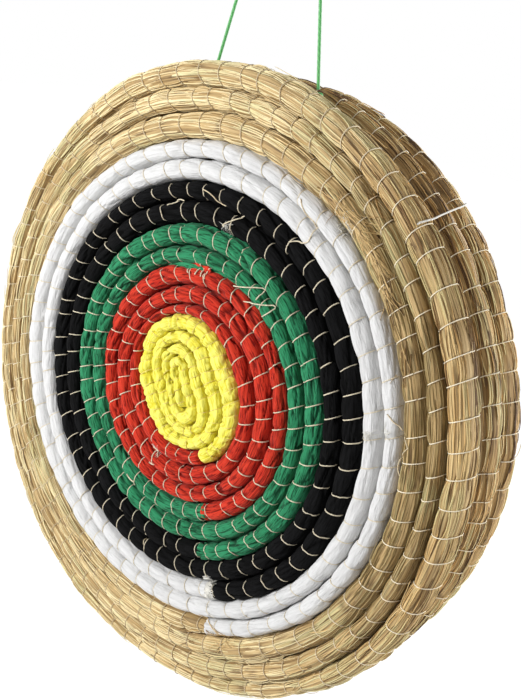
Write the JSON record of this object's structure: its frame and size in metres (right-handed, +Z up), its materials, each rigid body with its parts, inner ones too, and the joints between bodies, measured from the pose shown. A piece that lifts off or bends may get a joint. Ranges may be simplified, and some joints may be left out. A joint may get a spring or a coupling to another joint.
{
  "type": "archery target boss",
  "caption": "Round hanging archery boss of sewn straw rope in layers, coloured cloth rings on its face, hung by green cords with end loops.",
  "frame": {"origin": "midway between the two hang loops, at the height where a hook bears on them", "axes": "+Z up, -Y out of the coloured face, +X to the right as seen from the front"},
  "size_m": [0.5078, 0.1191, 0.6058],
  "materials": {
    "yellow_cloth": "matte crinkled cloth",
    "red_cloth": "matte crinkled cloth",
    "green_cloth": "matte crinkled cloth",
    "black_cloth": "matte crinkled cloth",
    "white_cloth": "matte crinkled cloth",
    "front_straw": "dry grass straw, satin",
    "middle_straw": "dry grass straw, satin",
    "middle_straw_core": "dry grass straw, satin",
    "back_straw": "dry grass straw, satin",
    "tie_twine": "matte twine",
    "green_cord": "twisted cord, satin"
  },
  "bodies": {
    "hangers": {"left_loop_knot": "green_cord", "right_loop_knot": "green_cord", "left_hang_loop": "green_cord", "right_hang_loop": "green_cord"},
    "cords": {"left_cord": "green_cord", "right_cord": "green_cord"},
    "boss": {"yellow_centre_coil": "yellow_cloth", "red_coil": "red_cloth", "green_coil": "green_cloth", "black_coil": "black_cloth", "white_coil": "white_cloth", "straw_front_coil": "front_straw", "middle_outer_coil": "middle_straw", "middle_core": "middle_straw_core", "back_coil": "back_straw", "rim_tie": "tie_twine", "left_tie_knot": "green_cord", "right_tie_knot": "green_cord"}
  },
  "joints": [
    {"name": "cord_swing", "type": "hinge", "parent": "hangers", "child": "cords", "pos_m": [0, 0, -0.028], "axis": [1, 0, 0], "range_deg": [-50, 50]},
    {"name": "boss_tilt", "type": "hinge", "parent": "cords", "child": "boss", "pos_m": [0, 0, -0.09653], "axis": [1, 0, 0], "range_deg": [-60, 60]}
  ]
}
